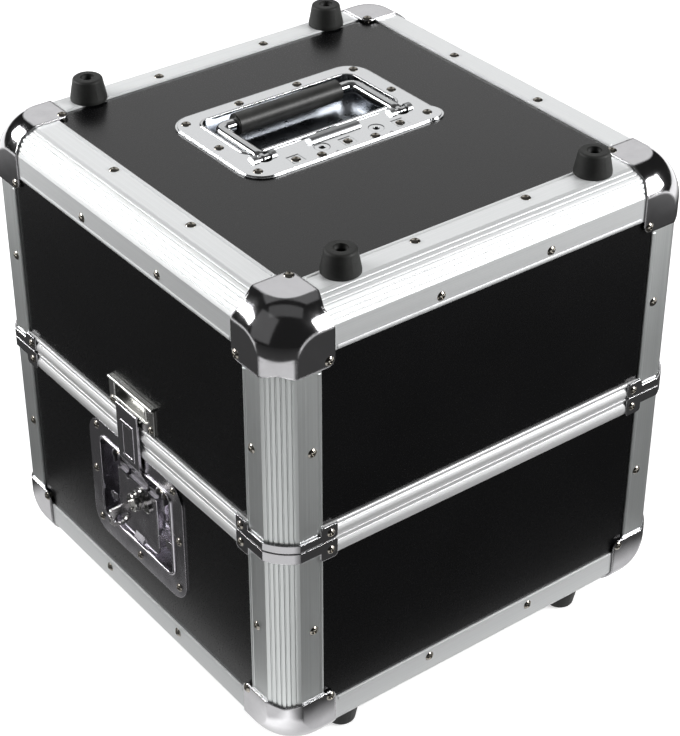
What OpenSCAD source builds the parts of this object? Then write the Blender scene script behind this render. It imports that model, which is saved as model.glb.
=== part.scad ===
// Record carrying case: a base and a lift-off lid, each with laminated panels held in
// extruded edge rails, ball corners, seam braces and rubber feet. The front carries a
// recessed key latch with a drawn link, the lid a recessed sprung drop handle.
// Millimetres, +Z up, the latch face looks to -Y. Built round the box centre, then moved
// by in_frame() so that the bounding box stands centred on the origin.

/* [Case] */
// width across the side faces
case_w = 360; // [340:1:400]
// depth from the latch face to the back face
case_d = 359; // [340:1:400]
// height from the bottom face to the top face, feet not counted
case_h = 365; // [355:1:400]
// height of the seam above the bottom face
seam_z = 181.5; // [180:0.5:186]
// gap between the two halves at the seam
seam_gap = 0.3; // [0.2:0.1:0.6]
// thickness of the laminated panels
panel_t = 6.5; // [5.5:0.5:7]

/* [Edge rails] */
// width of each rail flange measured from the virtual edge
rail_leg = 35.7; // [34:0.1:37]
// wall of the rail
skin_t = 1.3; // [1.1:0.1:1.5]
// distance from the virtual edge at which the rounding starts
step_u = 17; // [16.5:0.1:17.5]
// depth of the middle of the rounding below both faces
edge_reach = 7.1; // [6.8:0.1:7.4]
// distance between the grooves in the rounding
rib_pitch = 3.5; // [3.2:0.1:3.8]
// how far the seam pads stand out in the middle
pad_out = 1.2; // [0.6:0.1:1.4]
// width of the bead on the inner edge of each flange
bead_w = 3.3; // [2.4:0.1:4]
// distance between the two rivets along a rail
rivet_run = 95; // [80:1:110]
// distance of the rail rivets from the virtual edge
rivet_in = 28; // [26.5:0.1:28.5]
// height of the post rivets from the bottom and from the top
rivet_post = 107.5; // [100:0.5:115]

/* [Ball corners] */
// distance of the ball centre from each of the three faces
ball_c = 33; // [31:0.5:34]
// wall of the ball corner
corner_t = 1.3; // [1.1:0.1:1.5]
// reach of the rounded lobes along and across the edges
lobe = 45.5; // [45:0.1:47]

/* [Seam braces] */
// length of a brace leg end plate along the face
brace_l = 14; // [12:0.5:16]
// sheet of the braces
brace_t = 1.2; // [1:0.1:1.5]

/* [Feet] */
// height of the rubber feet
foot_h = 17; // [14:0.5:20]
// diameter of the feet at the case
foot_d = 27; // [24:0.5:29]
// distance of the feet from the side faces
foot_in = 27.5; // [26:0.5:29]
// distance of the feet from the front and back faces
foot_along = 71.5; // [65:0.5:80]

/* [Hinges] */
// distance of each hinge from the middle
hinge_x = 100; // [85:1:115]
// half length of a hinge leaf
hinge_l = 20; // [18:0.5:24]
// radius of the hinge pin
hinge_pin_r = 3; // [2.5:0.1:3.2]

/* [Latch] */
// width of the latch dish plate
dish_w = 124.5; // [122:0.5:128]
// corner radius of the latch dish plate
dish_r = 17; // [12:0.5:20]
// width of the recess in the latch dish
recess_w = 93; // [90:0.5:95]
// height of the recess in the latch dish
recess_h = 71.5; // [71:0.5:72]
// depth of the recess
recess_d = 15; // [14.6:0.1:17]
// width of the latch lever
lever_w = 52; // [51:0.5:54]
// width of the pull-down link
link_w = 26.6; // [25.6:0.2:27.6]
// sheet of the lever and the link
sheet = 1.2; // [1:0.1:1.3]
// length of the finger tab at the foot of the lever
tab_w = 12; // [8:0.5:20]
// radius of the base ring of the lock
lock_r = 8.8; // [8:0.1:8.9]
// how far the key stands out from the latch face
key_reach = 27; // [25:0.5:30]

/* [Handle] */
// width of the handle plate, across the grip
hplate_w = 112; // [110:0.5:116]
// length of the handle plate, along the grip
hplate_l = 171; // [170:1:180]
// depth of the handle pan
pan_d = 13.5; // [13:0.5:18]
// diameter of the grip sleeve
grip_d = 16; // [14:0.5:17]
// length of the grip sleeve
grip_l = 92; // [84:1:94]
// diameter of the bail rod
bail_d = 9.6; // [8:0.2:10]
// how far the middle of the handle plate stands above its edge
plate_crown = 0.8; // [0.4:0.1:1]

/* [Hidden] */
$fn = 72;
fit = 0.1;
ch = skin_t + panel_t + 2 * fit;
inner_t = 1.2;
leg_in = 21;
web_u = step_u + 0.3;
rail_cut = rail_leg + 0.3;
arc_c = (step_u * step_u - 2 * edge_reach * edge_reach) / (2 * (step_u - 2 * edge_reach));
arc_r = sqrt(2) * (arc_c - edge_reach);
ball_r = sqrt(2) * (ball_c - edge_reach);
riv_d = 4;
head_r = 3.6;
head_h = 1.7;
head_R = (head_r * head_r + head_h * head_h) / (2 * head_h);
corner_riv = 41;
lid_z = seam_z + seam_gap;
hinge_q = 7;
hinge_r = 5.5;
px = case_w / 2 - web_u - fit;
py = case_d / 2 - web_u - fit;
run_x = case_w - 2 * rail_cut;
run_y = case_d - 2 * rail_cut;
bead_off = lobe + 3;
brace_in = 33;
brace_riv = 41.5;
pivot_q = -5.5;
pivot_z = 144.5;
draw_q = -8;
draw_z = 138;
recess_z = 82;
dish_z0 = 63.3;
dish_z1 = 167.3;
lever_q = -1.5;
lever_z = 84;
lock_x = 6.5;
lock_z = 127.3;
hx = -29.5;
bail_x = 0;
bail_z = -1;
bail_y = 60.3;
grip_x = -55;
pan_x0 = -70.5;
pan_x1 = -10.3;
pan_y0 = -66.8;
pan_y1 = 68;
plate_z = -0.4 + plate_crown;
back_reach = hinge_q + hinge_r;
shift_y = (key_reach - back_reach) / 2;

module in_frame() translate([0, shift_y, foot_h]) children();

// ---- placing helpers ----
function half(k) = (k % 2 == 0) ? case_d / 2 : case_w / 2;
function wide(k) = (k % 2 == 0) ? case_w / 2 : case_d / 2;
module on_side(k) rotate([0, 0, 90 * k]) translate([0, -half(k), 0]) children();
module on_face(k) on_side(k) rotate([90, 0, 0]) children();
module at_post(k) translate([(k % 4 == 0 || k == 3 ? -1 : 1) * case_w / 2,
  (k % 4 < 2 ? -1 : 1) * case_d / 2, 0])
  rotate([0, 0, 90 * k]) children();
module at_corner(k, up) {
  if (up) at_post(k) translate([0, 0, case_h]) rotate([180, 0, 90]) children();
  else at_post(k) children();
}
module on_top() translate([0, 0, case_h]) children();
module on_bottom() rotate([180, 0, 0]) children();
module pair(x) for (s = [-1, 1]) translate([s * x, 0, 0]) children();
module four(x, y) for (i = [-1, 1], j = [-1, 1]) translate([i * x, j * y, 0]) children();

// rounded rectangle between two corners
module rrect(x0, y0, x1, y1, r) {
  translate([x0 + r, y0]) square([x1 - x0 - 2 * r, y1 - y0]);
  translate([x0, y0 + r]) square([x1 - x0, y1 - y0 - 2 * r]);
  for (x = [x0 + r, x1 - r], y = [y0 + r, y1 - y0 > 0 ? y1 - r : y0]) translate([x, y]) circle(r = r);
}

// loop of round bar on a rounded rectangle, for rolled edges
module rolled_rim(x0, y0, x1, y1, r, t) {
  for (x = [x0, x1]) translate([x, y0 + r, 0]) rotate([-90, 0, 0]) cylinder(r = t, h = y1 - y0 - 2 * r);
  for (y = [y0, y1]) translate([x0 + r, y, 0]) rotate([0, 90, 0]) cylinder(r = t, h = x1 - x0 - 2 * r);
  for (c = [[x1 - r, y1 - r, 0], [x0 + r, y1 - r, 90], [x0 + r, y0 + r, 180], [x1 - r, y0 + r, 270]])
    translate([c[0], c[1], 0]) rotate(c[2])
      rotate_extrude(angle = 90) translate([r, 0]) circle(r = t, $fn = 24);
}

// ---- fasteners ----
// blind rivet: domed head on z = 0, shank down through `grip`, set tail below it
module rivet(grip, r = head_r) {
  difference() {
    union() {
      intersection() {
        translate([0, 0, 0.05]) cylinder(r = r, h = head_h);
        translate([0, 0, 0.05 + head_h - head_R * r / head_r]) sphere(r = head_R * r / head_r);
      }
      translate([0, 0, -grip - 0.3]) cylinder(d = riv_d, h = grip + 0.9);
      translate([0, 0, -grip - 1.2]) cylinder(d = riv_d + 2, h = 1.15);
    }
    translate([0, 0, 0.9]) cylinder(r = 1.1, h = 3);
  }
}
module rivet_hole(deep = 30) translate([0, 0, -deep + 5]) cylinder(d = riv_d + 0.1, h = deep);

// rivet places on the face k, local x along the face, y up
module edge_spots(h) pair(rivet_run / 2) translate([0, h]) children();
module post_spots(k, h) pair(wide(k) - rivet_in) translate([0, h]) children();
module corner_spots(k, h) pair(wide(k) - corner_riv) translate([0, h]) children();
module brace_spots(k, h) pair(wide(k) - brace_riv) translate([0, h]) children();
module flat_edge_spots() {
  pair(case_w / 2 - rivet_in) for (s = [-1, 1]) translate([0, s * rivet_run / 2]) children();
  for (s = [-1, 1]) translate([0, s * (case_d / 2 - rivet_in)]) pair(rivet_run / 2) children();
}
module flat_corner_spots() four(case_w / 2 - corner_riv, case_d / 2 - corner_riv) children();
module foot_spots() four(case_w / 2 - foot_in, case_d / 2 - foot_along) children();

// ---- panels ----
module side_panel(k, z0, z1, low) {
  half_w = (k % 2 == 0) ? px : py;
  on_face(k) difference() {
    translate([0, 0, -ch + fit]) linear_extrude(panel_t) difference() {
      rrect(-half_w, low ? z0 : z0 - 40, half_w, low ? z1 + 40 : z1, 14);
      translate([-half_w - 1, low ? z1 : z0 - 50]) square([2 * half_w + 2, 50]);
    }
    edge_spots(low ? rivet_in : case_h - rivet_in) rivet_hole();
    post_spots(k, low ? rivet_post : case_h - rivet_post) rivet_hole();
    corner_spots(k, low ? corner_riv : case_h - corner_riv) rivet_hole();
    brace_spots(k, low ? seam_z - 8.5 : lid_z + 5.5) rivet_hole();
  }
}
low_top = seam_z - 5.4;
high_low = lid_z + 3.1;
module low_panel(k) side_panel(k, web_u + fit, low_top, true);
module high_panel(k) side_panel(k, high_low, case_h - web_u - fit, false);
module flat_panel() difference() {
  translate([0, 0, -ch + fit]) linear_extrude(panel_t) rrect(-px, -py, px, py, 14);
  flat_edge_spots() rivet_hole();
  flat_corner_spots() rivet_hole();
  foot_spots() rivet_hole();
}
module base_floor() color([0.12, 0.12, 0.13]) on_bottom() flat_panel();
module base_panel_front() color([0.12, 0.12, 0.13]) difference() {
  low_panel(0);
  on_face(0) translate([0, 0, -20]) linear_extrude(30)
    dish_outline(1.8);
  on_face(0) dish_spots() rivet_hole();
}
module base_panel_right() color([0.12, 0.12, 0.13]) low_panel(1);
module base_panel_back() color([0.12, 0.12, 0.13]) difference() {
  low_panel(2);
  on_face(2) leaf_spots(-1) rivet_hole();
}
module base_panel_left() color([0.12, 0.12, 0.13]) low_panel(3);
module lid_panel_front() color([0.12, 0.12, 0.13]) difference() {
  high_panel(0);
  on_face(0) keeper_spots() rivet_hole();
  on_face(0) translate([-pocket_w / 2 - 1.8, pocket_z0 - 1.8, -12])
    cube([pocket_w + 3.6, pocket_h + 3.2, 20]);
}
module lid_panel_right() color([0.12, 0.12, 0.13]) high_panel(1);
module lid_panel_back() color([0.12, 0.12, 0.13]) difference() {
  high_panel(2);
  on_face(2) leaf_spots(1) rivet_hole();
}
module lid_panel_left() color([0.12, 0.12, 0.13]) high_panel(3);
module lid_top() color([0.14, 0.14, 0.15]) difference() {
  on_top() flat_panel();
  on_top() translate([0, 0, -20]) linear_extrude(30) pan_outline(2.1);
  on_top() for (s = [-1, 1]) translate([-14, s * bail_y - 10.7, -8.5])
    cube([22.5, 21.4, 12]);
  on_top() translate([-6, -24, -8.5]) cube([12.2, 50, 12]);
  on_top() handle_spots() rivet_hole();
  on_top() dimple_spots() rivet_hole();
}

// ---- edge rails ----
// cross-section of the case corner grown outward by t, out to the distance `far`
module edge_area(t, far) {
  intersection() {
    translate([-t, -t]) square(far + t);
    translate([arc_c, arc_c]) circle(r = arc_r + t, $fn = 180);
  }
  translate([step_u, -t]) square([far - step_u, far + t]);
  translate([-t, step_u]) square([far + t, far - step_u]);
}
module rail_section() {
  difference() {
    edge_area(0, rail_leg);
    intersection() {
      translate([skin_t, skin_t]) square(rail_leg);
      translate([arc_c, arc_c]) circle(r = arc_r - skin_t - 0.5, $fn = 180);
    }
    translate([web_u, skin_t]) square(rail_leg);
    translate([skin_t, web_u]) square(rail_leg);
    for (i = [-2.5:1:2.5]) translate([arc_c, arc_c]) rotate(-135 + i * rib_pitch / arc_r * 180 / PI)
      translate([arc_r + 0.1, 0]) circle(r = 0.6, $fn = 16);
  }
  difference() {
    translate([ch, ch]) square(leg_in - ch);
    translate([ch + inner_t, ch + inner_t]) square(leg_in);
  }
  translate([web_u - inner_t, skin_t - 0.3]) square([inner_t, panel_t + 1]);
  translate([skin_t - 0.3, web_u - inner_t]) square([panel_t + 1, inner_t]);
}
// raised bead on one flange
module bead_section() intersection() {
  translate([rail_leg - bead_w, -0.6]) square([bead_w, 1.2]);
  translate([rail_leg - bead_w / 2, 2.4 * bead_w / 3.3]) circle(r = 2.9 * bead_w / 3.3, $fn = 48);
}
module rail(len, off0, off1) {
  linear_extrude(len) rail_section();
  translate([0, 0, off0]) linear_extrude(len - off0 - off1) bead_section();
  translate([0, 0, off0]) linear_extrude(len - off0 - off1) mirror([1, -1]) bead_section();
}
module side_rail(k, up) {
  len = (k % 2 == 0) ? run_x : run_y;
  off = bead_off - rail_cut;
  difference() {
    on_side(k) translate([-len / 2, 0, up ? case_h : 0]) rotate([up ? -90 : 0, 0, 0]) rotate([90, 0, 90])
      rail(len, off, off);
    on_face(k) edge_spots(up ? case_h - rivet_in : rivet_in) rivet_hole(8);
    translate([0, 0, up ? case_h : 0]) rotate([up ? 0 : 180, 0, 0]) {
      flat_edge_spots() rivet_hole(8);
      foot_spots() rivet_hole(8);
      foot_spots() cylinder(d = foot_d + 1.5, h = 3);
    }
  }
}
module posts(z0, z1, rz, up) for (k = [0:3]) difference() {
  at_post(k) translate([0, 0, z0])
    rail(z1 - z0, up ? 0 : bead_off - rail_cut, up ? bead_off - rail_cut : 0);
  on_face(k) post_spots(k, rz) rivet_hole(8);
  on_face((k + 3) % 4) post_spots(k + 1, rz) rivet_hole(8);
}
alu = [0.78, 0.79, 0.8];
module base_rail_front() color(alu) side_rail(0, false);
module base_rail_right() color(alu) side_rail(1, false);
module base_rail_back() color(alu) side_rail(2, false);
module base_rail_left() color(alu) side_rail(3, false);
module base_posts() color(alu) posts(rail_cut, seam_z, rivet_post, false);
module lid_rail_front() color(alu) side_rail(0, true);
module lid_rail_right() color(alu) side_rail(1, true);
module lid_rail_back() color(alu) side_rail(2, true);
module lid_rail_left() color(alu) side_rail(3, true);
module lid_posts() color(alu) posts(lid_z, case_h - rail_cut, case_h - rivet_post, true);

// ---- seam closures: a grooved base lip and a tongued lid lip ----
// sections drawn with x = depth into the case, y = height against the seam
module pad(y0, y1, out) {
  r = ((y1 - y0) * (y1 - y0) / 4 + out * out) / (2 * out);
  intersection() {
    translate([-out, y0]) square([out + 0.5, y1 - y0]);
    translate([r - out, (y0 + y1) / 2]) circle(r = r, $fn = 96);
  }
}
module base_pads() pad(-14, -4.9, pad_out);
module lid_pads() {
  pad(0, 7.4, pad_out - 0.1);
  pad(9.3, 12.2, pad_out / 2);
}
module base_lip() {
  translate([0, -14]) square([skin_t, 9.1]);
  translate([0.4, -5.3]) square([1.2, 5.3]);
  translate([0, -2.4]) square([1, 1]);
  translate([0.4, -5.2]) square([ch + 0.8, 1.3]);
  translate([0.4, -5.2]) square([2.8, 5.2]);
  translate([6.2, -5.2]) square([ch + 1.2 - 6.2, 5.2]);
  translate([ch, -14]) square([inner_t, 10]);
}
module lid_lip() {
  difference() {
    square([skin_t, 12.2]);
    translate([0, 8.4]) circle(r = 0.75, $fn = 24);
  }
  translate([0, 0]) square([ch + inner_t, 1.3]);
  translate([3.5, -3 - seam_gap]) square([2, 3.6 + seam_gap]);
  translate([0.3, 1.2]) square([ch + 0.6, 1.8]);
  translate([ch, 0]) square([inner_t, 12.2]);
}
module closure(k, up) {
  len = (k % 2 == 0) ? run_x : run_y;
  run = wide(k) - brace_in - brace_l - 0.4;
  difference() {
    union() {
      on_side(k) translate([-len / 2, 0, up ? lid_z : seam_z]) rotate([90, 0, 90]) linear_extrude(len) {
        if (up) lid_lip();
        else base_lip();
      }
      on_side(k) translate([-run, 0, up ? lid_z : seam_z]) rotate([90, 0, 90]) linear_extrude(2 * run) {
        if (up) lid_pads();
        else base_pads();
      }
    }
    on_face(k) brace_spots(k, up ? lid_z + 5.5 : seam_z - 8.5) rivet_hole(20);
    if (k == 2) on_face(2) pair(hinge_x) translate([-hinge_l - 0.5, seam_z - 20, 0.5])
      cube([2 * hinge_l + 1, 40, 3]);
  }
}
module base_closure_front() color(alu) closure(0, false);
module base_closure_right() color(alu) closure(1, false);
module base_closure_back() color(alu) closure(2, false);
module base_closure_left() color(alu) closure(3, false);
module lid_closure_front() color(alu) closure(0, true);
module lid_closure_right() color(alu) closure(1, true);
module lid_closure_back() color(alu) closure(2, true);
module lid_closure_left() color(alu) closure(3, true);

// ---- ball corners ----
module cyc(i) {
  if (i == 0) children();
  if (i == 1) rotate([90, 0, 90]) children();
  if (i == 2) rotate([90, 0, 90]) rotate([90, 0, 90]) children();
}
// the case corner grown by t, its point replaced by a ball
module corner_solid(t) difference() {
  intersection_for(i = [0:2]) cyc(i) translate([0, 0, -t]) linear_extrude(60 + t) edge_area(t, 60);
  difference() {
    translate([-9, -9, -9]) cube(ball_c + 9);
    translate([ball_c, ball_c, ball_c]) sphere(r = ball_r + t, $fn = 180);
  }
}
module petal_outline() {
  r = 6;
  polygon([[-3, -3], [41, -3], [41, 2], [lobe, 15], [lobe, lobe - r], [lobe - r, lobe], [15, lobe], [2, 41],
    [-3, 41]]);
  translate([lobe - r, lobe - r]) circle(r = r);
}
module ball_corner() difference() {
  intersection() {
    corner_solid(fit + corner_t);
    union() for (i = [0:2]) cyc(i) translate([0, 0, -3]) linear_extrude(25) petal_outline();
  }
  corner_solid(fit);
  translate([22.5, 22.5, 22.5]) cube(60);
  for (i = [0:2]) cyc(i) translate([corner_riv, corner_riv, -4]) cylinder(d = riv_d + 0.1, h = 10);
}
chrome = [0.86, 0.87, 0.88];
module base_corner_fl() color(chrome) at_corner(0, false) ball_corner();
module base_corner_fr() color(chrome) at_corner(1, false) ball_corner();
module base_corner_br() color(chrome) at_corner(2, false) ball_corner();
module base_corner_bl() color(chrome) at_corner(3, false) ball_corner();
module lid_corner_fl() color(chrome) at_corner(0, true) ball_corner();
module lid_corner_fr() color(chrome) at_corner(1, true) ball_corner();
module lid_corner_br() color(chrome) at_corner(2, true) ball_corner();
module lid_corner_bl() color(chrome) at_corner(3, true) ball_corner();

// ---- seam braces ----
module brace_shell(far) difference() {
  edge_area(0.6 + brace_t, far);
  edge_area(0.6, far + 20);
}
module brace(leg0, leg1, band0, band1, rz) difference() {
  union() {
    translate([0, 0, band0]) linear_extrude(band1 - band0) brace_shell(brace_in + 3);
    for (i = [0, 1]) mirror([i, -i, 0]) rotate([90, 0, 0]) translate([0, 0, 0.6]) linear_extrude(brace_t)
      rrect(brace_in, leg0, brace_in + brace_l, leg1, 2.5);
  }
  for (i = [0, 1]) mirror([i, -i, 0]) rotate([90, 0, 0]) translate([brace_riv, rz, 0]) rivet_hole(10);
}
dark = [0.36, 0.36, 0.39];
module base_braces() color(dark) for (k = [0:3]) at_post(k)
  brace(seam_z - 15.3, seam_z - 0.3, seam_z - 8.5, seam_z - 0.5, seam_z - 8.5);
module lid_braces() color(dark) for (k = [0:3]) at_post(k)
  brace(lid_z + 0.1, lid_z + 11.9, lid_z + 0.3, lid_z + 6.3, lid_z + 5.5);

// ---- feet ----
module foot() difference() {
  translate([0, 0, 0.05]) rotate_extrude() difference() {
    union() {
      polygon([[0, 0], [foot_d / 2, 0], [foot_d / 2, 2.2],
        [foot_d / 2 - 2.4, foot_h - 2.2], [0, foot_h - 2.2]]);
      translate([0, foot_h - 4]) square([foot_d / 2 - 4.6, 3.95]);
      translate([foot_d / 2 - 4.6, foot_h - 2.25]) circle(r = 2.2);
    }
    translate([0, foot_h]) circle(r = 5.2);
  }
  translate([0, 0, 4]) cylinder(r = 4, h = foot_h);
  translate([0, 0, -1]) cylinder(d = 4.2, h = foot_h);
}
module foot_screw() difference() {
  union() {
    translate([0, 0, 4.05]) cylinder(r = 3.6, h = 1);
    intersection() {
      translate([0, 0, 4.5]) cylinder(r = 3.6, h = 2.4);
      translate([0, 0, 1.9]) sphere(r = 4.8);
    }
    translate([0, 0, -ch]) cylinder(d = 4, h = ch + 4.6);
    translate([0, 0, -ch - 1.9]) cylinder(d = 8, h = 1.9);
  }
  for (a = [0, 90]) rotate(a) translate([-2, -0.45, 5.6]) cube([4, 0.9, 3]);
}
module base_feet() color([0.12, 0.12, 0.12]) on_bottom() foot_spots() foot();
module lid_feet() color([0.12, 0.12, 0.12]) on_top() foot_spots() foot();
module base_foot_screws() color([0.6, 0.6, 0.6]) on_bottom() foot_spots() foot_screw();
module lid_foot_screws() color([0.6, 0.6, 0.6]) on_top() foot_spots() foot_screw();

// ---- rivets of the two halves ----
module half_rivets(up) {
  b = 0.6 + brace_t;
  for (k = [0:3]) on_face(k) {
    edge_spots(up ? case_h - rivet_in : rivet_in) rivet(ch);
    post_spots(k, up ? case_h - rivet_post : rivet_post) rivet(ch);
    corner_spots(k, up ? case_h - corner_riv : corner_riv) translate([0, 0, corner_t + fit])
      rivet(ch + corner_t);
    brace_spots(k, up ? lid_z + 5.5 : seam_z - 8.5) translate([0, 0, b]) rivet(ch + inner_t + b, 3.1);
  }
  translate([0, 0, up ? case_h : 0]) rotate([up ? 0 : 180, 0, 0]) {
    flat_edge_spots() rivet(ch);
    flat_corner_spots() translate([0, 0, corner_t + fit]) rivet(ch + corner_t);
  }
}
module base_rivets() color([0.7, 0.7, 0.7]) {
  half_rivets(false);
  on_face(2) leaf_spots(-1) translate([0, 0, 0.65]) rivet(ch + 0.65);
}
module lid_rivets() color([0.7, 0.7, 0.7]) {
  half_rivets(true);
  on_face(2) leaf_spots(1) translate([0, 0, 0.65]) rivet(ch + 0.65);
  on_face(0) keeper_spots() translate([0, 0, -0.1]) rivet(ch - 0.1, 2.8);
  on_top() handle_spots() translate([0, 0, plate_z]) rivet(ch + plate_z);
  on_top() dimple_spots() translate([0, 0, plate_z - 0.5]) rivet(ch + plate_z - 0.5);
}

// ---- lift-off hinges, drawn on the back face (local x along, y up, z out) ----
module leaf_spots(s) pair(hinge_x) for (i = [-1, 1]) {
  translate([i * 12, seam_z + s * 24]) children();
  translate([i * 12, seam_z + s * 36]) children();
}
// one leaf above (s = 1) or below (s = -1) the seam; the knuckle is on the side d
module leaf(s, d, z0) difference() {
  union() {
    translate([0, seam_z, 0]) mirror([0, s > 0 ? 0 : 1, 0]) {
      translate([0, 0, -1.35]) linear_extrude(2) rrect(-hinge_l, 16.5, hinge_l, 43, 4);
      translate([-hinge_l, 15.6, -1.35]) cube([2 * hinge_l, 2, 4.05]);
      translate([-hinge_l, 6.2, 0.7]) cube([2 * hinge_l, 10, 2]);
      translate([d > 0 ? 0.3 : -hinge_l, z0, 0.7]) cube([hinge_l - 0.3, 8, 2]);
      translate([d > 0 ? 0.3 : -hinge_l, z0, 0.7]) cube([hinge_l - 0.3, 5, hinge_q - 0.7]);
    }
    translate([d > 0 ? 0.3 : -hinge_l, seam_z, hinge_q]) rotate([0, 90, 0])
      cylinder(r = hinge_r, h = hinge_l - 0.3);
  }
  translate([-hinge_l - 1, seam_z, hinge_q]) rotate([0, 90, 0])
    cylinder(r = hinge_pin_r + (s > 0 ? 0.05 : 0.03), h = 2 * hinge_l + 2);
  translate([-hinge_x, 0, 0]) leaf_spots(s) rivet_hole();
  translate([hinge_x, 0, 0]) leaf_spots(s) rivet_hole();
}
module base_hinge_leaves() color([0.8, 0.8, 0.8]) on_face(2) pair(hinge_x) leaf(-1, -1, 0.3);
module lid_hinge_leaves() color([0.8, 0.8, 0.8]) on_face(2) pair(hinge_x) leaf(1, 1, 0.3);
module hinge_pins() color([0.7, 0.7, 0.7]) on_face(2) pair(hinge_x)
  translate([0, seam_z, hinge_q]) rotate([0, 90, 0]) {
    translate([0, 0, -hinge_l - 0.1]) cylinder(r = hinge_pin_r, h = 2 * hinge_l - 1.9);
    translate([0, 0, hinge_l - 2.01]) cylinder(r1 = hinge_pin_r, r2 = hinge_pin_r - 1, h = 1.4);
    translate([0, 0, -hinge_l - 1.3]) cylinder(r = hinge_pin_r + 1, h = 1.28);
  }

// ---- keeper on the lid, drawn on the latch face ----
pocket_w = 39;
pocket_z0 = 203.8;
pocket_h = 12.4;
module keeper_spots() {
  translate([-23.5, 199.5]) children();
  translate([26.5, 199.5]) children();
}
// section of the pocket: x = out of the face, y = up; its back leans in below the fold
module pocket_section(e) polygon([[-0.8, pocket_z0 + pocket_h + e], [-7.2, pocket_z0 + 3 + e],
  [-7.8 - e, pocket_z0 + 2.6 + e], [-7.8 - e, pocket_z0 - e], [-0.8, pocket_z0 - e]]);
module keeper() color([0.5, 0.5, 0.53]) on_face(0) difference() {
  union() {
    translate([0, 0, -1.3]) linear_extrude(1.2) rrect(-27.5, 194.6, 31, 219.5, 2.5);
    translate([-26, 216.8, -1.3]) cube([56.5, 2.6, 2.3]);
    translate([-25, 218.6, 1]) rotate([0, 90, 0]) cylinder(r = 1.4, h = 56);
    for (x = [-25, 31]) translate([x, 218.6, 1]) sphere(r = 1.4, $fn = 24);
    for (x = [-pocket_w / 2 - 1.3, pocket_w / 2 + 1.3])
      translate([x, 204, -0.3]) rotate([-90, 0, 0]) cylinder(r = 0.9, h = 13.5);
    translate([-14, 199.2, -0.6]) cube([28, 1.6, 2.1]);
    translate([-21, 202, -1.3]) cube([43, 1.2, 2.6]);
    translate([-pocket_w / 2 - 1.2, 0, 0]) rotate([90, 0, 90]) linear_extrude(pocket_w + 2.4)
      mirror([1, -1])
      pocket_section(1.2);
  }
  translate([-pocket_w / 2, 0, 0]) rotate([90, 0, 90]) linear_extrude(pocket_w)
    mirror([1, -1]) pocket_section(0);
  translate([-pocket_w / 2, pocket_z0, -0.9]) cube([pocket_w, pocket_h, 9]);
  keeper_spots() rivet_hole();
}

// ---- latch dish and its fixed parts ----
module dish_spots() {
  pair(51) translate([0, 161]) children();
  pair(56) translate([0, 118.7]) children();
  pair(53) translate([0, 74.6]) children();
  translate([0, 70.4]) children();
}
module dish_outline(e)
  rrect(-recess_w / 2 - e, recess_z - e, recess_w / 2 + e, recess_z + recess_h + e, 6 + e);
module latch_dish() color(dark) on_face(0) difference() {
  union() {
    translate([0, 0, -1.3]) linear_extrude(1.2) rrect(-dish_w / 2, dish_z0, dish_w / 2, dish_z1, dish_r);
    translate([0, 0, -recess_d - 1.3]) linear_extrude(recess_d + 0.6) dish_outline(1.2);
    rolled_rim(-recess_w / 2 - 1, recess_z - 1, recess_w / 2 + 1, recess_z + recess_h + 1, 7, 1.2);
  }
  translate([0, 0, -recess_d - 0.1]) linear_extrude(30) dish_outline(0);
  translate([-15, 150, -3.5]) cube([30, 20, 10]);
  dish_spots() rivet_hole();
  for (s = [-1, 1]) translate([s * 27, 110, 0]) rivet_hole();
}
module bracket_side() {
  translate([-recess_d + 0.1, 104]) square([4.4, 33]);
  translate([-recess_d + 0.1, 136]) square([12.2, 12]);
  translate([-recess_d + 0.1, 99]) square([11.9, 6]);
  translate([pivot_q, pivot_z]) circle(r = 4);
}
module latch_bracket() color([0.45, 0.45, 0.48]) on_face(0) difference() {
  union() {
    translate([-34.2, 104, -recess_d - 0.05]) cube([68.4, 44, 1.2]);
    for (s = [-1, 1]) translate([s * 33.5 - 0.75, 0, 0]) rotate([0, 90, 0]) mirror([1, 0, 0])
      linear_extrude(1.5) bracket_side();
    for (s = [-1, 1]) translate([s * 36.5, 102, -4.2]) {
      translate([-3, -3, 0]) cube([6, 6, 1.2]);
      translate([s * 3, 0, 0]) cylinder(r = 3, h = 1.2);
    }
    translate([22, 119, -10.9]) cube([12.2, 12, 1.2]);
    for (s = [-1, 1]) translate([s * 34.9 - 0.75, 110, -recess_d + 2.6]) rotate([0, 90, 0])
      cylinder(r = 1.8, h = 1.5);
  }
  for (s = [-1, 1]) translate([s * 27, 110, 0]) rivet_hole();
  translate([-40, pivot_z, pivot_q]) rotate([0, 90, 0]) cylinder(r = 2.03, h = 80);
  translate([-24, 131.9, -20]) cube([48, 20, 5.9]);
}
module latch_rivets() color([0.7, 0.7, 0.7]) on_face(0) {
  dish_spots() translate([0, 0, -0.1]) rivet(ch - 0.1, 3.2);
  for (s = [-1, 1]) translate([s * 27, 110, -recess_d + 1.15]) intersection() {
    rivet(2.5, 2.6);
    translate([-5, -5, -9]) cube([10, 10, 10.2]);
  }
}

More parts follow.
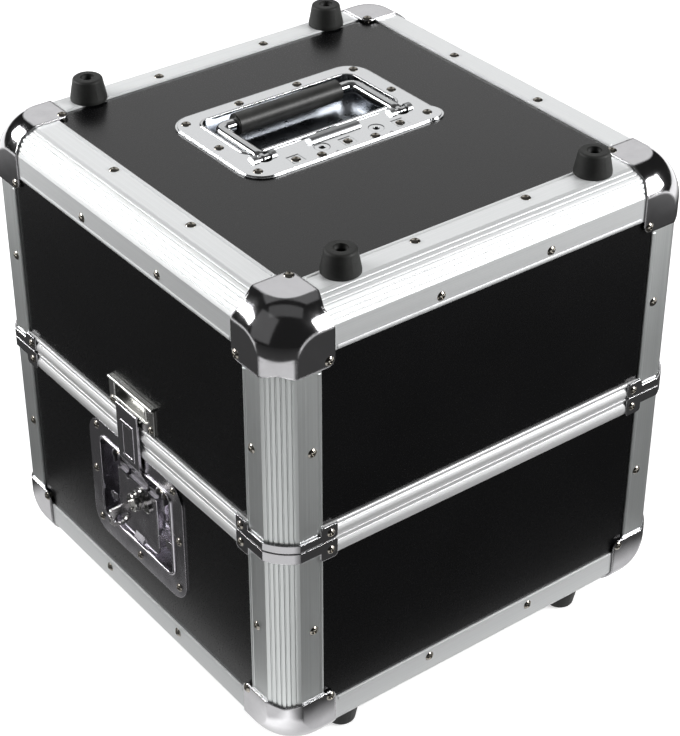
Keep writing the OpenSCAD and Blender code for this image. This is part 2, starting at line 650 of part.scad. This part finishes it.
// ---- lever, link and their pins ----
// sections drawn with x = out of the face, y = up
module lever_side() {
  translate([pivot_q, pivot_z]) circle(r = 4);
  translate([draw_q, draw_z]) circle(r = 3.4);
  polygon([[-9.3, 143.2], [-11.2, 139.2], [-4.8, 136], [-3.5, 141.5], [-1.7, 145.8]]);
  translate([-8, 92]) square([lever_q + 8, 46]);
}
module latch_lever() color([0.42, 0.42, 0.45]) on_face(0) difference() {
  union() {
    translate([0, 0, lever_q - sheet]) linear_extrude(sheet) difference() {
      rrect(-lever_w / 2, lever_z, lever_w / 2, 149.5, 8);
      translate([-40, 137.5]) square([80, 20]);
    }
    translate([-lever_w / 2, 136.3, -3.5 - sheet]) cube([lever_w, 5.2, sheet]);
    translate([-lever_w / 2, 136.3, -3.5 - sheet]) cube([lever_w, 1.2, lever_q + 3.5 + sheet]);
    for (s = [-1, 1]) translate([s * (lever_w / 2 - sheet / 2) - sheet / 2, 0, 0]) rotate([0, 90, 0])
      mirror([1, 0, 0]) linear_extrude(sheet) lever_side();
    for (s = [-1, 1]) translate([s * (lever_w / 2 - 0.9), 93, lever_q - 0.4]) rotate([-90, 0, 0])
      cylinder(r = 0.9, h = 43);
    translate([-tab_w / 2, 0, 0]) rotate([90, 0, 90]) linear_extrude(tab_w) mirror([1, -1])
      polygon([[lever_q - sheet, lever_z], [lever_q + 2, lever_z + 0.2], [lever_q + 2.3, lever_z + 1.1],
        [lever_q, lever_z + 6], [lever_q - sheet, lever_z + 6]]);
  }
  pair((link_w - 1.2) / 2) translate([-1.5, 133.4, -9]) cube([3, 20, 12]);
  translate([-40, pivot_z, pivot_q]) rotate([0, 90, 0]) cylinder(r = 2.05, h = 80);
  translate([-40, draw_z, draw_q]) rotate([0, 90, 0]) cylinder(r = 1.83, h = 80);
  translate([lock_x, lock_z, -9]) cylinder(r = lock_r - 1.45, h = 12);
}
module latch_pivots() color([0.7, 0.7, 0.7]) on_face(0) {
  for (s = [0, 1]) mirror([s, 0, 0]) translate([lever_w / 2 - 2.6, pivot_z, pivot_q]) rotate([0, 90, 0]) {
    cylinder(r = 2, h = 34.5 - lever_w / 2 + 2.6);
    translate([0, 0, 34.3 - lever_w / 2 + 2.6]) cylinder(r = 3, h = 1.2);
  }
}
module link_side() {
  polygon([[3.8, 196], [3.8, 157], [-1.2, 145.6], [-5.2, 136.8], [-10.6, 139.6], [pad_out + 0.4, 158],
    [pad_out + 0.4, 196]]);
  translate([draw_q, draw_z]) circle(r = 3);
}
module latch_link() color([0.55, 0.55, 0.58]) on_face(0) difference() {
  union() {
    translate([-link_w / 2, 157, 3.8 - sheet]) cube([link_w, 47, sheet]);
    translate([-link_w / 2, 0, 0]) rotate([90, 0, 90]) linear_extrude(link_w) mirror([1, -1])
      polygon([[3.8, 157.2], [-1.4, 145.4], [-2.5, 145.9], [2.6, 157.5]]);
    for (s = [-1, 1]) translate([s * (link_w / 2 - 0.6) - 0.6, 0, 0]) rotate([90, 0, 90])
      linear_extrude(1.2) mirror([1, -1]) link_side();
    translate([-link_w / 2, 202.7, 1.9]) cube([link_w, 1.3, 1.8]);
    translate([-link_w / 2, 203.4, 3]) rotate([0, 90, 0]) cylinder(r = 1.1, h = link_w);
    translate([-8, 161, 3.4]) cube([16, 31, 0.8]);
    translate([-lever_w / 2 + 1.5, draw_z, draw_q]) rotate([0, 90, 0]) cylinder(r = 1.8, h = lever_w - 3);
  }
  translate([-5.5, 163.5, 3.9]) cube([11, 26, 2]);
}

// ---- lock and key ----
module lock_body() color([0.75, 0.75, 0.76]) on_face(0) translate([lock_x, lock_z, 0]) difference() {
  union() {
    translate([0, 0, -11]) cylinder(r = lock_r - 1.5, h = 12);
    translate([0, 0, lever_q + 0.05]) cylinder(r = lock_r, h = 2);
    translate([0, 0, 0.5]) cylinder(r = lock_r - 1.8, h = 2.1);
    translate([0, 0, 2.4]) cylinder(r = lock_r - 0.8, h = 2.1);
    translate([0, 0, 4.4]) cylinder(r = lock_r - 2.6, h = 1.6);
    translate([0, 0, 5.9]) cylinder(r = lock_r - 1.6, h = 1.9);
    translate([0, 0, 7.7]) cylinder(r1 = lock_r - 1.6, r2 = lock_r - 2.4, h = 0.8);
    translate([0, 0, lever_q - sheet - 1.6]) cylinder(r = lock_r + 0.1, h = 1.55);
    translate([6.7, -4.5, lever_q + 0.05]) cylinder(r = 4.6, h = 1.6);
    translate([6.7, -4.5, lever_q + 1.6]) cylinder(r1 = 4.6, r2 = 3.2, h = 0.9);
  }
  translate([0, 0, -12]) cylinder(r = 4.55, h = 22);
}
// sections of the flat key drawn with x = out of the face, y = up from the lock's axis
module key_bow() {
  difference() {
    union() {
      translate([17.8, -8.2]) scale([1.3, 1]) circle(r = 7);
      polygon([[9, 2], [key_reach - 3, 1.6], [key_reach - 1, -3.4], [19, -8], [9, -3]]);
      translate([key_reach - 2.6, -0.9]) circle(r = 2.6);
    }
    translate([17.8, -8.6]) scale([1.4, 1]) circle(r = 4.2);
  }
}
module lock_key() color([0.72, 0.7, 0.62]) on_face(0) translate([lock_x, lock_z, 0]) {
  translate([0, 0, -11.2]) cylinder(r = 4.5, h = 19.5);
  translate([0, 0, -12.8]) cylinder(r = 4.5, h = 1.7);
  translate([-3.5, -24, -12.8]) cube([7, 24, 1.5]);
  translate([-1, -2.8, 8]) cube([2, 5, 2]);
  translate([-1, 0, 0]) rotate([90, 0, 90]) linear_extrude(2) mirror([1, -1]) key_bow();
}

// ---- recessed handle on the lid, drawn above the top face ----
module handle_spots() {
  for (s = [-1, 1]) {
    translate([-74, s * 75]) children();
    translate([-78.5, s * 26]) children();
    translate([-30, s * 76.5]) children();
    translate([14.5, s * 74.5]) children();
  }
  for (y = [-25, 22]) translate([21, y]) children();
}
module dimple_spots() for (y = [-43, 2, 49]) translate([15.2, y]) children();
module pan_outline(e) rrect(pan_x0 - e, pan_y0 - e, pan_x1 + e, pan_y1 + e, 8 + e);
module plate_outline(e) {
  rrect(hx - hplate_w / 2 + e, -hplate_l / 2 + e, hx + hplate_w / 2 - e, hplate_l / 2 - 1.3 - e, 19 - e);
  translate([14.5, 74.5]) circle(r = 12 - e);
}
module knuckle(y) translate([bail_x, y, bail_z]) rotate([-90, 0, 0]) children();
knuckle_l = bail_d + 9.6;
module handle_plate() color([0.83, 0.84, 0.85]) on_top() difference() {
  union() {
    translate([0, 0, -1.3]) linear_extrude(0.9) plate_outline(0);
    translate([0, 0, -0.5]) linear_extrude(plate_z + 0.5) plate_outline(1.5);
    translate([0, 0, -pan_d - 1.3]) linear_extrude(pan_d + 0.9) pan_outline(1.2);
    translate([0, 0, plate_z - 0.3]) rolled_rim(pan_x0 - 1, pan_y0 - 1, pan_x1 + 1.6, pan_y1 + 1, 9, 1.3);
    translate([pan_x1 + 4.6, pan_y0 + 12, plate_z - 0.4]) rotate([-90, 0, 0]) cylinder(r = 1.25, h = 100);
    for (s = [-1, 1]) knuckle(s * bail_y - knuckle_l / 2) cylinder(r = 4.6, h = knuckle_l);
    knuckle(-21) cylinder(r = 4.8, h = 43);
  }
  translate([0, 0, -pan_d - 0.1]) linear_extrude(30) pan_outline(0);
  for (s = [-1, 1]) knuckle(s * bail_y - knuckle_l / 2 + 1) cylinder(r = 3.05, h = knuckle_l - 2);
  knuckle(-20) cylinder(r = 3.5, h = 41);
  for (s = [-1, 1]) translate([0, s * bail_y, 0]) {
    translate([-14, -bail_d / 2 - 0.7, -bail_d / 2 - 1.8]) cube([16, bail_d + 1.4, 16]);
    translate([2, 0, -bail_d / 2 - 1.8]) cylinder(r = bail_d / 2 + 0.7, h = 16);
  }
  translate([-8, -9, -7]) cube([4.5, 18, 8]);
  handle_spots() rivet_hole();
  dimple_spots() rivet_hole();
  dimple_spots() translate([0, 0, plate_z - 0.5]) rotate(45) cylinder(r1 = 6.4, r2 = 8, h = 0.6, $fn = 4);
  for (y = [-18, 30]) {
    translate([11.8, y, plate_z - 0.5]) cylinder(r1 = 5.4, r2 = 6.2, h = 0.6);
    translate([11.8, y, -3]) cylinder(r = 2.4, h = 6);
    translate([23.2, y + 5, -3]) cylinder(r = 0.9, h = 6);
  }
}
// bail: two arms, rounded elbows and the bar inside the grip; eyes on the pins at the arm ends
module handle_bail() color(chrome) on_top() translate([bail_x, 0, bail_z]) {
  reach = bail_x - grip_x;
  for (s = [-1, 1]) {
    translate([-6, s * bail_y, 0]) rotate([0, -90, 0]) cylinder(d = bail_d, h = reach - 13);
    translate([-6, s * bail_y, 0]) sphere(d = bail_d);
    translate([-6, s * bail_y, 0]) rotate([0, 90, 0]) cylinder(d = bail_d - 2.6, h = 6);
    translate([0, s * bail_y, 0]) sphere(d = bail_d - 2.6);
    translate([0, s * bail_y, 0]) rotate([90, 0, 0]) translate([0, 0, -knuckle_l / 2 + 1.2])
      cylinder(r = 3, h = knuckle_l - 2.4);
    translate([-reach + 7, s * (bail_y - 7), 0]) rotate(s > 0 ? 90 : 180) rotate_extrude(angle = 90)
      translate([7, 0]) circle(d = bail_d);
  }
  translate([-reach, -bail_y + 6.99, 0]) rotate([-90, 0, 0]) cylinder(d = bail_d, h = 2 * bail_y - 13.98);
}
module handle_grip() color([0.14, 0.14, 0.14]) on_top() translate([grip_x, -grip_l / 2, bail_z])
  rotate([-90, 0, 0])
  difference() {
    union() {
      translate([0, 0, 0.8]) cylinder(d = grip_d, h = grip_l - 1.6);
      cylinder(d = grip_d - 1.6, h = grip_l);
    }
    translate([0, 0, -1]) cylinder(d = bail_d + 0.04, h = grip_l + 2);
  }
// plain torsion spring sleeve in its half-round housing
module handle_spring() color([0.6, 0.6, 0.6]) on_top() knuckle(-19) difference() {
  cylinder(r = 3.2, h = 39);
  translate([0, 0, -1]) cylinder(r = 2.2, h = 41);
}

in_frame() base_floor();
in_frame() base_panel_front();
in_frame() base_panel_right();
in_frame() base_panel_back();
in_frame() base_panel_left();
in_frame() base_rail_front();
in_frame() base_rail_right();
in_frame() base_rail_back();
in_frame() base_rail_left();
in_frame() base_posts();
in_frame() base_closure_front();
in_frame() base_closure_right();
in_frame() base_closure_back();
in_frame() base_closure_left();
in_frame() base_corner_fl();
in_frame() base_corner_fr();
in_frame() base_corner_br();
in_frame() base_corner_bl();
in_frame() base_braces();
in_frame() base_feet();
in_frame() base_foot_screws();
in_frame() base_rivets();
in_frame() base_hinge_leaves();
in_frame() hinge_pins();
in_frame() lid_top();
in_frame() lid_panel_front();
in_frame() lid_panel_right();
in_frame() lid_panel_back();
in_frame() lid_panel_left();
in_frame() lid_rail_front();
in_frame() lid_rail_right();
in_frame() lid_rail_back();
in_frame() lid_rail_left();
in_frame() lid_posts();
in_frame() lid_closure_front();
in_frame() lid_closure_right();
in_frame() lid_closure_back();
in_frame() lid_closure_left();
in_frame() lid_corner_fl();
in_frame() lid_corner_fr();
in_frame() lid_corner_br();
in_frame() lid_corner_bl();
in_frame() lid_braces();
in_frame() lid_feet();
in_frame() lid_foot_screws();
in_frame() lid_rivets();
in_frame() lid_hinge_leaves();
in_frame() keeper();
in_frame() latch_dish();
in_frame() latch_bracket();
in_frame() latch_rivets();
in_frame() latch_lever();
in_frame() latch_pivots();
in_frame() latch_link();
in_frame() lock_body();
in_frame() lock_key();
in_frame() handle_plate();
in_frame() handle_bail();
in_frame() handle_grip();
in_frame() handle_spring();
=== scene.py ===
import math

import bpy
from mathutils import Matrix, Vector

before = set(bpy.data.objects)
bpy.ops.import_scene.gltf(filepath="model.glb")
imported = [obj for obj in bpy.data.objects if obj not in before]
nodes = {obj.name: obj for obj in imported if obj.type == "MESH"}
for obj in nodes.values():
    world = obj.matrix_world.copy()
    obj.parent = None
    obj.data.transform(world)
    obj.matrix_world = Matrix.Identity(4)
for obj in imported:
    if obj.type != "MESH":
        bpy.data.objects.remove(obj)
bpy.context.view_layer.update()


# ---------------------------------------------------------------------------
# Boards. Eight side boards, the floor and the top are thin birch plywood faced
# with black laminate, sawn square and slid into the rails.

class Field:
    """A value that varies over a surface: wraps a socket, and its operators add Math nodes."""

    def __init__(self, finish, socket):
        self.finish, self.socket = finish, socket

    def op(self, operation, other=None, swapped=False):
        """One Math node on this value and another; `swapped` puts the other one first."""
        pair = (other, self) if swapped else (self, other)
        return self.finish.node("ShaderNodeMath", {"operation": operation}, dict(enumerate(pair)))

    def __add__(self, other):
        return self.op("ADD", other)

    def __radd__(self, other):
        return self.op("ADD", other)

    def __sub__(self, other):
        return self.op("SUBTRACT", other)

    def __rsub__(self, other):
        return self.op("SUBTRACT", other, swapped=True)

    def __mul__(self, other):
        return self.op("MULTIPLY", other)

    def __rmul__(self, other):
        return self.op("MULTIPLY", other)

    def __abs__(self):
        return self.op("ABSOLUTE")


class Finish:
    """One material. node() makes every node in it: type, settings first, then values or links."""

    def __init__(self, name):
        self.material = bpy.data.materials.new(name)
        self.material.use_nodes = True
        self.tree = self.material.node_tree
        self.tree.nodes.clear()

    def node(self, kind, settings=None, sockets=None, out=0):
        made = self.tree.nodes.new(kind)
        for key, value in (settings or {}).items():
            setattr(made, key, value)
        for key, value in (sockets or {}).items():
            if isinstance(value, Field):
                self.tree.links.new(value.socket, made.inputs[key])
            elif value is not None:
                made.inputs[key].default_value = value
        return Field(self, made.outputs[out])

    def place(self, scale=(1, 1, 1), turn=0.0):
        """Object coordinates in metres, stretched by `scale` and turned by `turn` about Z."""
        where = self.node("ShaderNodeTexCoord", out="Object")
        return self.node("ShaderNodeMapping", {},
                         {"Vector": where, "Scale": scale, "Rotation": (0, 0, turn)})

    def part(self, vector, axis):
        """The part of a vector along X, Y or Z, as axis 0, 1 or 2."""
        return self.node("ShaderNodeSeparateXYZ", {}, {"Vector": vector}, out=axis)

    def height(self):
        """Height above the floor in metres."""
        return self.part(self.place(), 2)

    def noise(self, size, detail, stretch=(1, 1, 1)):
        """Soft noise from 0 to 1 whose blobs are `size` metres across."""
        grid = self.place(tuple(s / size for s in stretch))
        return self.node("ShaderNodeTexNoise", {}, {"Vector": grid, "Scale": 1.0, "Detail": detail,
                                                    "Roughness": 0.55}, out="Fac")

    def span(self, field, low, high, to_low=0.0, to_high=1.0):
        """The field's span low..high stretched to to_low..to_high, clamped."""
        return self.node("ShaderNodeMapRange", {},
                         {"Value": field, "From Min": low, "From Max": high,
                          "To Min": to_low, "To Max": to_high})

    def blend(self, mask, first, second):
        """The first colour where the mask is 0, the second where it is 1."""
        return self.node("ShaderNodeMix", {"data_type": "RGBA"},
                         {"Factor": mask, 6: first, 7: second}, out=2)

    def bump(self, height, depth, before=None):
        """Normal for a height field of 0..1 that is `depth` metres deep."""
        return self.node("ShaderNodeBump", {}, {"Height": height, "Distance": depth,
                                                "Strength": 1.0, "Normal": before})

    def soft(self, radius):
        """The surface's normal, rounded over within `radius` of its edges."""
        return self.node("ShaderNodeBevel", {"samples": 6}, {"Radius": radius})

    def output(self, surface):
        made = self.tree.nodes.new("ShaderNodeOutputMaterial")
        self.tree.links.new(surface.socket, made.inputs["Surface"])
        return self.material

    def shade(self, **sockets):
        """A Principled surface with these sockets, wired to the output."""
        names = {key.replace("_", " "): value for key, value in sockets.items()}
        return self.output(self.node("ShaderNodeBsdfPrincipled", {}, names))


def tone(tint, share=1.0):
    """A colour at a share of its brightness, with full alpha."""
    return tuple(share * c for c in tint) + (1,)


def dress(names, material):
    """Puts one material on the named CAD pieces."""
    for name in names:
        mesh = nodes[name].data
        mesh.materials.clear()
        mesh.materials.append(material)


def laminate():
    """Near-black film with a fine pebble grain, a little greyer in broad clouds."""
    deep_black, grey_black = (0.0034, 0.0034, 0.0038), (0.0052, 0.0052, 0.0057)
    f = Finish("black_laminate")
    grain = f.noise(0.0011, detail=4.0)
    cloud = f.noise(0.09, detail=2.0)
    film = f.blend(f.span(cloud, 0.3, 0.7), tone(deep_black), tone(grey_black))
    satin = f.span(grain, 0.3, 0.7, 0.22, 0.29)
    return f.shade(Base_Color=film, Roughness=satin, Specular_IOR_Level=0.32,
                   Normal=f.bump(grain, depth=0.000035))


halves = ("base", "lid")
sides = ("front", "right", "back", "left")
dress(["base_floor", "lid_top"] + [h + "_panel_" + s for h in halves for s in sides], laminate())


# ---------------------------------------------------------------------------
# Edge rails, posts and seam lips. Extruded aluminium, left as drawn and lightly
# anodised: fine die lines run along each length, and the ribs shine on top.

def aluminium(name, axis, metal, tint):
    """Die lines are noise 0.7 mm wide, stretched 1250 times along the extrusion's axis."""
    line_width, line_depth, line_shade = 0.0007, 0.000010, 0.92
    stretch = [1.0, 1.0, 1.0]
    stretch[axis] = 0.0008
    f = Finish(name)
    lines = f.noise(line_width, detail=2.0, stretch=stretch)
    cloud = f.noise(0.05, detail=3.0)
    drawn = f.blend(f.span(lines, 0.3, 0.7), tone(tint, line_shade), tone(tint))
    rough = f.span(lines * 0.7 + cloud * 0.3, 0.35, 0.65, 0.33, 0.44)
    return f.shade(Base_Color=drawn, Metallic=metal, Roughness=rough,
                   Normal=f.bump(lines, line_depth, f.soft(0.0004)))


rail_tint, lip_tint, post_tint = (0.90, 0.915, 0.92), (0.95, 0.955, 0.96), (0.84, 0.865, 0.86)
for axis, ends in enumerate((("front", "back"), ("right", "left"))):
    dress([h + "_rail_" + e for h in halves for e in ends],
          aluminium("drawn_aluminium_" + "xy"[axis], axis, metal=0.28, tint=rail_tint))
    dress([h + "_closure_" + e for h in halves for e in ends],
          aluminium("bright_aluminium_" + "xy"[axis], axis, metal=0.35, tint=lip_tint))
dress([h + "_posts" for h in halves],
      aluminium("drawn_aluminium_z", axis=2, metal=0.82, tint=post_tint))


# ---------------------------------------------------------------------------
# Ball corners and seam braces. Deep-drawn steel caps and pressed straps, polished
# and bright chromed, each held by rivets through its lobes.

def chrome(name, tint, rough, wave=0.000018, edge=0.0005):
    """Bright plating: ripples `wave` deep from the drawing, and a haze of wipe marks."""
    f = Finish(name)
    haze = f.noise(0.012, detail=4.0)
    ripple = f.noise(0.02, detail=1.0)
    wiped = f.blend(f.span(haze, 0.3, 0.7), tone(tint), tone(tint, 0.93))
    return f.shade(Base_Color=wiped, Metallic=1.0, Roughness=f.span(haze, 0.35, 0.7, *rough),
                   Normal=f.bump(ripple, wave, f.soft(edge)))


dress([h + "_corner_" + c for h in halves for c in ("fl", "fr", "br", "bl")],
      chrome("corner_chrome", (0.56, 0.555, 0.57), rough=(0.07, 0.14), wave=0.00008, edge=0.0025))
dress([h + "_braces" for h in halves],
      chrome("brace_chrome", (0.54, 0.535, 0.55), rough=(0.07, 0.14), wave=0.00005, edge=0.0009))


# ---------------------------------------------------------------------------
# Rivets, screws, pins and hinge leaves. Small plated steel parts; the rivet heads
# have a faint warm cast.

dress(["base_rivets", "lid_rivets", "latch_rivets", "latch_pivots", "hinge_pins"],
      chrome("rivet_plating", (0.38, 0.355, 0.315), rough=(0.10, 0.22), edge=0.0002))
dress([h + "_foot_screws" for h in halves],
      chrome("screw_plating", (0.5, 0.5, 0.5), rough=(0.2, 0.35)))
dress([h + "_hinge_leaves" for h in halves],
      chrome("hinge_plating", (0.7, 0.7, 0.71), rough=(0.12, 0.25)))


# ---------------------------------------------------------------------------
# Feet. Eight moulded rubber feet with a faint bloom, each screwed through its
# well into the case.

def rubber(name, tint, rough):
    """Dull black with fine pits, and a greyer bloom in patches."""
    f = Finish(name)
    pits = f.noise(0.0013, detail=5.0)
    bloom = f.noise(0.012, detail=3.0)
    skin = f.blend(f.span(bloom, 0.35, 0.7), tone(tint), tone(tint, 1.9))
    return f.shade(Base_Color=skin, Roughness=f.span(pits, 0.3, 0.7, *rough),
                   Specular_IOR_Level=0.4, Normal=f.bump(pits, depth=0.00008))


dress([h + "_feet" for h in halves],
      rubber("foot_rubber", (0.0135, 0.0140, 0.0130), rough=(0.5, 0.66)))


# ---------------------------------------------------------------------------
# Latch. Pressed steel dish, bracket, lever, link and keeper in dark bright
# plating, with a stepped nickel lock and its key.

def dark_chrome(name, tint, top):
    """Dark plating with painted shade above the height `top`, where the link lies over it: darker
    and rougher there.
    """
    link_shade_share, fade = 0.34, 0.001
    f = Finish(name)
    haze = f.noise(0.012, detail=4.0)
    ripple = f.noise(0.018, detail=1.0)
    # Above `top` the colour is painted darker as the link's shade, and the roughness rises.
    link_shade_mask = f.span(f.height(), top - fade, top + fade)
    wiped = f.blend(f.span(haze, 0.3, 0.7), tone(tint), tone(tint, 0.9))
    return f.shade(Base_Color=f.blend(link_shade_mask, wiped, tone(tint, link_shade_share)), Metallic=1.0,
                   Roughness=f.span(haze, 0.35, 0.7, 0.16, 0.28) + link_shade_mask * 0.12,
                   Normal=f.bump(ripple, 0.00003, f.soft(0.0005)))


dark_tint = (0.58, 0.565, 0.60)
lever_top, above_everything = 0.1525, 1.0
dress(["latch_dish", "latch_link"], dark_chrome("dark_chrome", dark_tint, above_everything))
dress(["latch_bracket", "latch_lever"], dark_chrome("lever_chrome", dark_tint, lever_top))
dress(["keeper"],
      chrome("keeper_chrome", (0.62, 0.62, 0.60), rough=(0.24, 0.34), wave=0.00003))
dress(["lock_body"],
      chrome("lock_nickel", (0.52, 0.515, 0.505), rough=(0.10, 0.22), wave=0.00003, edge=0.0003))
dress(["lock_key"],
      chrome("key_nickel", (0.46, 0.455, 0.445), rough=(0.12, 0.24), wave=0.00003, edge=0.0003))


# ---------------------------------------------------------------------------
# Handle. Stamped plate with its pan, bright chromed, a steel bail that drops
# into it, and a black sleeve on the grip.

def stamped_plate():
    """Bright on the flange; below it the pan is painted slate grey as shade in the recess, and what
    stands proud is duller: painted darker to dim its highlight, and rougher.
    """
    flange_tint, pan_shade_tint, proud_shade_tint = (0.66, 0.67, 0.68), (0.24, 0.255, 0.28), (0.30, 0.305, 0.31)
    pan_top, flange_foot = 0.3745, 0.3800
    flange_top, proud_foot = 0.3832, 0.3838
    f = Finish("handle_chrome")
    haze = f.noise(0.010, detail=4.0)
    ripple = f.noise(0.03, detail=1.0)
    # Below pan_top the pan is painted dark as recess shade; above flange_top the proud parts are
    # painted darker to dim their highlight.
    down = f.span(f.height(), pan_top, flange_foot, 1.0, 0.0)
    proud = f.span(f.height(), flange_top, proud_foot)
    plate_with_painted_shade = f.blend(proud, f.blend(down, tone(flange_tint), tone(pan_shade_tint)), tone(proud_shade_tint))
    return f.shade(Base_Color=plate_with_painted_shade, Metallic=1.0,
                   Roughness=f.span(haze, 0.35, 0.7, 0.10, 0.18) + down * 0.16 + proud * 0.24,
                   Normal=f.bump(ripple, 0.00003, f.soft(0.0005)))


dress(["handle_plate"], stamped_plate())
dress(["handle_bail"], chrome("bail_chrome", (0.50, 0.505, 0.51), rough=(0.12, 0.20)))
dress(["handle_grip"], rubber("grip_rubber", (0.026, 0.026, 0.025), rough=(0.34, 0.46)))
dress(["handle_spring"], chrome("spring_steel", (0.5, 0.5, 0.5), rough=(0.25, 0.4)))


# ---------------------------------------------------------------------------
# Floor. White where the camera looks at it and dim where it lights the case;
# bright metal sees a dark floor with pale ground at its flanks.

case_shift = 0.00725
middle = Vector((0.0, case_shift, 0.199))
floor_reach = 9.0


def stage_floor():
    """Strength = camera rays * a white that rises with distance + glossy rays * the pale zones:
    a wedge toward the camera, the ground to both sides beyond 0.9 m, and the spot under the case."""
    f = Finish("pale_floor")
    seen = f.node("ShaderNodeLightPath", out="Is Camera Ray")
    glossy = f.node("ShaderNodeLightPath", out="Is Glossy Ray")
    through = f.node("ShaderNodeLightPath", out="Is Transmission Ray")
    lit = f.node("ShaderNodeBsdfDiffuse", {}, {"Color": f.blend(seen, tone((0.045, 0.045, 0.045)),
                                                                tone((0.90, 0.90, 0.90)))})
    turned = f.place(turn=math.radians(-37))
    across = abs(f.part(turned, 0))
    away = f.node("ShaderNodeVectorMath", {"operation": "LENGTH"}, {0: turned}, out=1)
    ahead = -0.22 - f.part(turned, 1)
    wedge = (f.span(across - ahead * 0.62, 0.0, 0.05, 1.0, 0.0) * f.span(ahead, 0.0, 0.03)
             * f.span(ahead, 0.60, 0.66, 1.0, 0.0))
    flanks = f.span(away, 0.86, 1.45) * f.span(across - ahead * 0.9, 0.0, 0.3)
    plain = f.place()
    east = abs(f.part(plain, 0))
    north = abs(f.part(plain, 1) - middle.y)
    under = f.span(east.op("MAXIMUM", north), 0.214, 0.230, 1.0, 0.0)
    white = 0.58 + 0.6 * f.span(away, 0.9, 2.4)
    mirrored = 0.035 + 0.90 * wedge + 1.45 * flanks + 0.8 * under
    strength = seen * white + glossy * mirrored + through * 0.5
    glow = f.node("ShaderNodeEmission", {}, {"Color": (1, 1, 1, 1), "Strength": strength})
    return f.output(f.node("ShaderNodeAddShader", {}, {0: lit, 1: glow}))


floor_mesh = bpy.data.meshes.new("floor")
floor_mesh.from_pydata([(floor_reach * x, floor_reach * y, 0.0)
                        for x, y in ((-1, -1), (1, -1), (1, 1), (-1, 1))], [], [(0, 1, 2, 3)])
floor_mesh.materials.append(stage_floor())
floor = bpy.data.objects.new("floor", floor_mesh)
bpy.context.scene.collection.objects.link(floor)


# ---------------------------------------------------------------------------
# Lamps and room. A broad soft box behind the case, a low strip at each flank, and
# dim cards above and in front, in a room that is dark but white to the camera.

def way(azimuth, elevation):
    """Unit vector from the case; azimuth 0 is out of the latch face and 90 is to its right."""
    a, e = math.radians(azimuth), math.radians(elevation)
    return Vector((math.sin(a) * math.cos(e), -math.cos(a) * math.cos(e), math.sin(e)))


def lamp(name, azimuth, elevation, distance, size, glow):
    """A soft box that faces the case; `size` is width and height, `glow` its radiance."""
    data = bpy.data.lights.new(name, "AREA")
    data.shape = "RECTANGLE"
    data.size, data.size_y = size
    data.energy = glow * math.pi * size[0] * size[1]
    light = bpy.data.objects.new(name, data)
    outward = way(azimuth, elevation)
    light.location = middle + outward * distance
    light.rotation_euler = outward.to_track_quat("Z", "Y").to_euler()
    bpy.context.scene.collection.objects.link(light)


lamp("back_box", azimuth=233, elevation=36, distance=2.6, size=(3.2, 2.2), glow=0.98)
lamp("front_left_strip", azimuth=-44, elevation=28, distance=1.8, size=(1.25, 0.40), glow=15.5)
lamp("right_back_strip", azimuth=130, elevation=27, distance=2.6, size=(1.3, 0.85), glow=16.5)
lamp("over_box", azimuth=233, elevation=74, distance=2.4, size=(3.2, 1.5), glow=0.16)
lamp("dim_card", azimuth=4, elevation=30, distance=2.6, size=(1.9, 2.3), glow=0.13)
lamp("dim_roof", azimuth=50, elevation=68, distance=2.4, size=(2.6, 0.9), glow=0.10)

room = bpy.data.worlds.new("room")
room.use_nodes = True
bpy.context.scene.world = room
background = room.node_tree.nodes["Background"]
background.inputs["Color"].default_value = (1, 1, 1, 1)
sight = room.node_tree.nodes.new("ShaderNodeLightPath")
level = room.node_tree.nodes.new("ShaderNodeMapRange")
level.inputs["To Min"].default_value = 0.02
level.inputs["To Max"].default_value = 1.0
room.node_tree.links.new(sight.outputs["Is Camera Ray"], level.inputs["Value"])
room.node_tree.links.new(level.outputs["Result"], background.inputs["Strength"])


# ---------------------------------------------------------------------------
# Camera. Its place, heading and lens were solved from the straight edges of the
# case, in the case's own frame, which stands foot_height over the floor.

foot_height = 0.017
camera_data = bpy.data.cameras.new("camera")
camera_data.lens = 98.28
camera_data.sensor_width = 36.0
camera_data.clip_end = 50
camera = bpy.data.objects.new("camera", camera_data)
camera.location = (1.0173, -0.7622 + case_shift, 1.0205 + foot_height)
camera.rotation_euler = way(52.92, 33.93).to_track_quat("Z", "Y").to_euler()
bpy.context.scene.collection.objects.link(camera)
bpy.context.scene.camera = camera
bpy.context.scene.view_settings.view_transform = "Standard"
